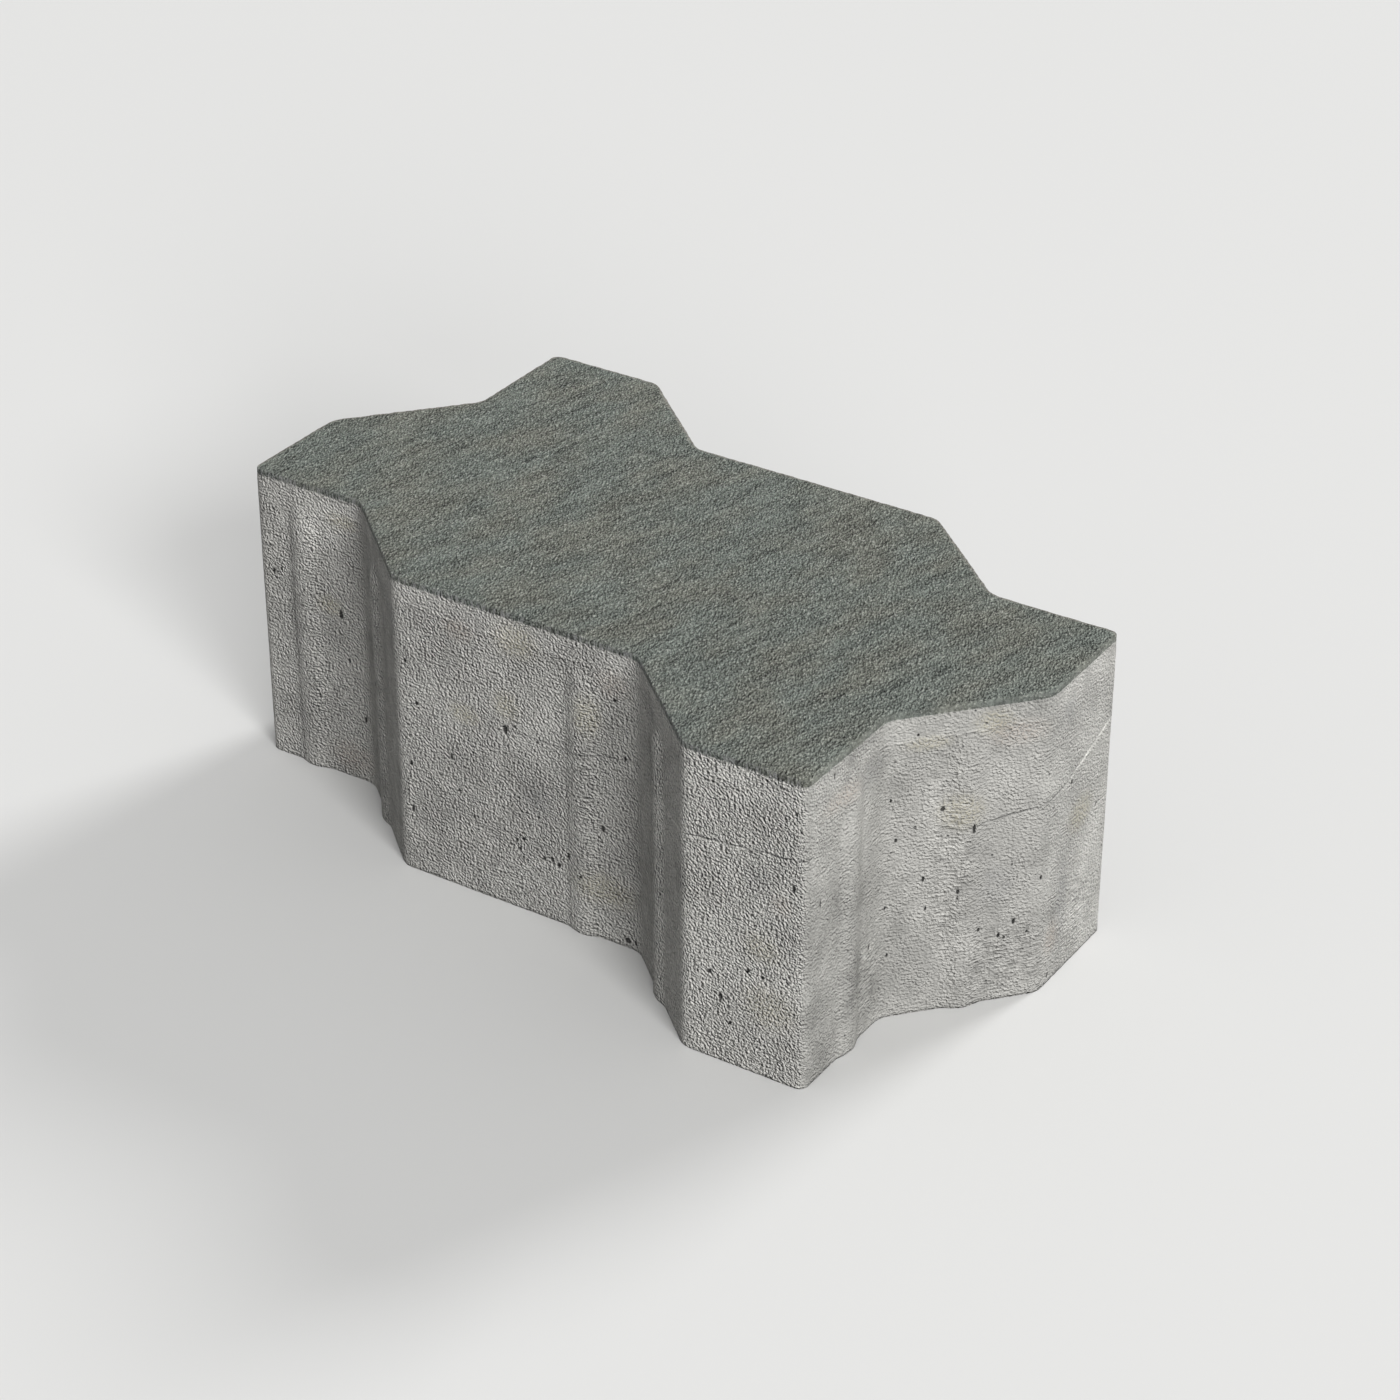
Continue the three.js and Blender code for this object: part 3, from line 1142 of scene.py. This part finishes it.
def body_layer(graph, flat, solid):
    """Colour, height in millimetres and roughness of the grey body of the casting."""
    clouds = graph.noise(solid, **CLOUDS)
    mottle = graph.noise(solid, **MOTTLE)
    grain, painted_light = side_grain(graph, flat)
    wrinkles = graph.noise(flat, **WRINKLES)
    wrinkled = graph.product(graph.attribute("wrinkled"), WRINKLE_STRENGTH)
    pinholes = pinhole_share(graph, flat)
    crack, ledge, band, lip_highlight, shadow = crack_and_fill_shares(graph, flat)
    uneven = graph.remap(graph.attribute("rough"), *MOTTLE_WHERE_ROUGH)
    rough = grain_strength(graph, band, mottle)

    tone = graph.total(
        graph.remap(clouds, MOST_NOISE, CLOUD_TONES),
        graph.product(uneven, graph.remap(mottle, MOST_NOISE, MOTTLE_TONES)),
        # painted light and shade on the flanks of the grain
        graph.product(rough, graph.remap(painted_light, NOISE_SLOPES, SIDE_PAINTED_LIGHT_TONES)),
        # low spots of the grain darker: partly dirt, partly painted shade
        graph.product(rough, graph.remap(grain, *SIDE_PIT_DIRT_AND_SHADE_TONES)),
        graph.product(wrinkled, graph.remap(wrinkles, MOST_NOISE, WRINKLE_TONES)),
        # pale and dark patches: tone, partly painted light and shade
        graph.product(graph.attribute("pale"), PALE_TONE),
        graph.product(graph.attribute("dark"), DARK_TONE),
        # painted highlight along the step at the fill line, and the painted shadow under it
        graph.product(lip_highlight, LIP_HIGHLIGHT_TONE),
        graph.product(shadow, SHADOW_TONE),
        graph.product(ledge, LEDGE_TONE),
        # painted shade at the ribs' feet and a painted highlight on a crest
        rib_painted_shade_and_highlight(graph, flat),
    )
    # the body's own tone from face to face, with painted light and shade
    tone = graph.product(tone, graph.attribute("tone_and_painted_light"))
    colour = graph.mix(tone, shade_of(0.0), shade_of(1.0, **BODY_TINT))
    # painted shade in the crack, the pinholes and the air holes
    colour = marked(graph, stained(graph, colour, grain), crack, pinholes)

    height = graph.total(
        graph.product(rough, graph.remap(grain, ALL_NOISE, SIDE_GRAIN_HEIGHTS)),
        graph.product(wrinkled, graph.remap(wrinkles, ALL_NOISE, WRINKLE_HEIGHTS)),
        graph.product(band, BAND_HEIGHT),
        graph.product(crack, CRACK_HEIGHT),
        graph.product(pinholes, PINHOLE_HEIGHT),
    )
    roughness = graph.remap(grain, MOST_NOISE, BODY_ROUGHNESS)
    return colour, height, roughness


def face_layer(graph, solid):
    """Colour, height in millimetres and roughness of the green-grey wearing layer."""
    streaks = graph.noise(solid, **STREAKS)
    scratches = graph.noise(solid, **SCRATCHES)
    grain, painted_light = grain_and_painted_light(graph, solid, FACE_PAINTED_LIGHT_WAY, FACE_GRAIN)
    even = graph.remap(graph.attribute("ragged"), *RAGGED_TO_SMOOTH)
    smooth_rim = graph.product(graph.attribute("rim"), even)
    coarse = graph.remap(smooth_rim, (0, 1), SMOOTH_RIM_GRAIN)

    tone = graph.total(
        graph.remap(streaks, MOST_NOISE, STREAK_TONES),
        graph.remap(scratches, *SCRATCH_TONES),
        graph.product(coarse, graph.remap(grain, *FACE_GRAIN_TONES)),
        # painted light and shade on the flanks of the grain
        graph.product(coarse, graph.remap(painted_light, NOISE_SLOPES, FACE_PAINTED_LIGHT_TONES)),
    )
    green, brown = (graph.mix(tone, shade_of(0.0), tint) for tint in (GREEN, BROWN))
    browner = graph.remap(graph.noise(solid, **TINTS), GREEN_TO_BROWN)
    colour = graph.mix(browner, green, brown)
    colour = graph.mix(graph.remap(grain, *BRIGHT_SHARES), colour, BRIGHT_GRAIN)
    # painted highlight along the rim, mostly on its back half
    rim_highlight = graph.product(graph.attribute("rim_highlight"), graph.remap(grain, *RIM_HIGHLIGHT_SHARES))
    colour = graph.mix(rim_highlight, colour, RIM_HIGHLIGHT_GRAIN)
    height = graph.product(coarse, graph.remap(grain, ALL_NOISE, FACE_GRAIN_HEIGHTS))
    roughness = graph.remap(grain, MOST_NOISE, FACE_ROUGHNESS)
    return colour, height, roughness


def fringed(graph, colour, flat, above_bed, foot, teeth):
    """The colour with dark and pale dashes along the ragged foot of the wearing layer."""
    rim = line_share(graph, above_bed, (foot + FRINGE_RISE, *FRINGE_FADE))
    broken = graph.remap(graph.noise(flat, **FRINGE_BREAKS), *FRINGE_STRENGTHS)
    fringe = graph.product(rim, graph.attribute("ragged"), broken)
    for dash in FRINGE_DASHES:
        share = graph.product(fringe, graph.remap(teeth, dash["teeth"], dash["strength"]))
        colour = graph.mix(share, colour, shade_of(dash["grey"]))
    return colour


def stone_material(thickness):
    """Body and wearing layer, parted by a ragged line round the arris."""
    material = bpy.data.materials.new("concrete")
    graph = Graph(material)
    place = graph.add("ShaderNodeTexCoord", output="Object")
    solid = graph.add("ShaderNodeMapping", {"Vector": place, "Scale": (METRES,) * 3})
    flat = graph.attribute("face_mm", "Vector")
    above_bed = graph.add("ShaderNodeSeparateXYZ", {0: solid}, output=2)
    foot = thickness - LAYER_DEPTH
    teeth = graph.noise(flat, **TEETH)
    tooth = graph.remap(teeth, MOST_NOISE, (-TOOTH_LENGTH, TOOTH_LENGTH))
    jagged = graph.total(above_bed, graph.product(graph.attribute("ragged"), tooth))
    on_face = graph.remap(jagged, (foot - FOOT_BLUR, foot + FOOT_BLUR))

    body_colour, body_height, body_roughness = body_layer(graph, flat, solid)
    face_colour, face_height, face_roughness = face_layer(graph, solid)
    colour = graph.mix(on_face, body_colour, face_colour)
    height = graph.blend(on_face, body_height, face_height)
    bump = graph.add("ShaderNodeBump", {"Height": height, "Distance": MM, "Strength": 1.0})
    shader = graph.add(
        "ShaderNodeBsdfPrincipled",
        {
            "Base Color": fringed(graph, colour, flat, above_bed, foot, teeth),
            "Roughness": graph.blend(on_face, body_roughness, face_roughness),
            "Specular IOR Level": SPECULAR,
            "Normal": bump,
        },
    )
    graph.add("ShaderNodeOutputMaterial", {"Surface": shader})
    return material


def seen_directly(graph):
    """1 for a ray that shows the background: from the camera, or by way of gloss or glass."""
    path = graph.tree.nodes.new("ShaderNodeLightPath")
    shown = graph.math("MAXIMUM", path.outputs["Is Camera Ray"], path.outputs["Is Glossy Ray"])
    return graph.math("MAXIMUM", shown, path.outputs["Is Transmission Ray"])


def floor_material():
    material = bpy.data.materials.new("floor")
    graph = Graph(material)
    colour = graph.mix(seen_directly(graph), shade_of(FLOOR_BOUNCE), BACKDROP)
    shader = graph.add("ShaderNodeBsdfDiffuse", {"Color": colour})
    graph.add("ShaderNodeOutputMaterial", {"Surface": shader})
    return material


# --- Studio ------------------------------------------------------------------------------


def build_floor():
    reach = FLOOR_REACH * MM
    mesh = bpy.data.meshes.new("floor")
    corners = [(-reach, -reach, 0), (reach, -reach, 0), (reach, reach, 0), (-reach, reach, 0)]
    mesh.from_pydata(corners, [], [(0, 1, 2, 3)])
    mesh.materials.append(floor_material())
    floor = bpy.data.objects.new("floor", mesh)
    bpy.context.scene.collection.objects.link(floor)


def aim(thing, place, target):
    thing.location = place
    thing.rotation_euler = (target - place).to_track_quat("-Z", "Y").to_euler()


def build_lamp(name, lamp):
    data = bpy.data.lights.new(name, "AREA")
    data.shape = "DISK"
    data.size = lamp["size"] * MM
    data.energy = lamp["watts"]
    thing = bpy.data.objects.new(name, data)
    thing.visible_camera = False
    bpy.context.scene.collection.objects.link(thing)
    bearing = math.radians(lamp["bearing"])
    elevation = math.radians(lamp["elevation"])
    level = math.cos(elevation)
    east, north = level * math.cos(bearing), level * math.sin(bearing)
    direction = Vector((east, north, math.sin(elevation)))
    aim(thing, direction * lamp["distance"] * MM, Vector((0, 0, 0)))


def build_world():
    world = bpy.data.worlds.new("studio")
    bpy.context.scene.world = world
    graph = Graph(world)
    colour = graph.mix(seen_directly(graph), shade_of(SURROUND), BACKDROP)
    light = graph.add("ShaderNodeBackground", {"Color": colour, "Strength": 1.0})
    graph.add("ShaderNodeOutputWorld", {"Surface": light})


def build_camera():
    data = bpy.data.cameras.new("camera")
    data.lens = CAMERA_LENS
    data.sensor_width = SENSOR_WIDTH
    camera = bpy.data.objects.new("camera", data)
    bpy.context.scene.collection.objects.link(camera)
    aim(camera, Vector(CAMERA_PLACE) * MM, Vector(CAMERA_AIM) * MM)
    bpy.context.scene.camera = camera


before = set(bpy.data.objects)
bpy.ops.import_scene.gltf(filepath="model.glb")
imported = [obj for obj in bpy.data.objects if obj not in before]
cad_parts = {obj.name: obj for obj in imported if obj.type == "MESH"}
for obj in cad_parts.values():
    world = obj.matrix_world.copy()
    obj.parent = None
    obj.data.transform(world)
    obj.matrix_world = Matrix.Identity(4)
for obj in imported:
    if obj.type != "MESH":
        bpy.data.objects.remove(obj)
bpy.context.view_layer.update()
bpy.context.scene.view_settings.view_transform = "Standard"
build_stone()
build_floor()
for lamp_name, lamp_facts in LAMPS.items():
    build_lamp(lamp_name, lamp_facts)
build_world()
build_camera()
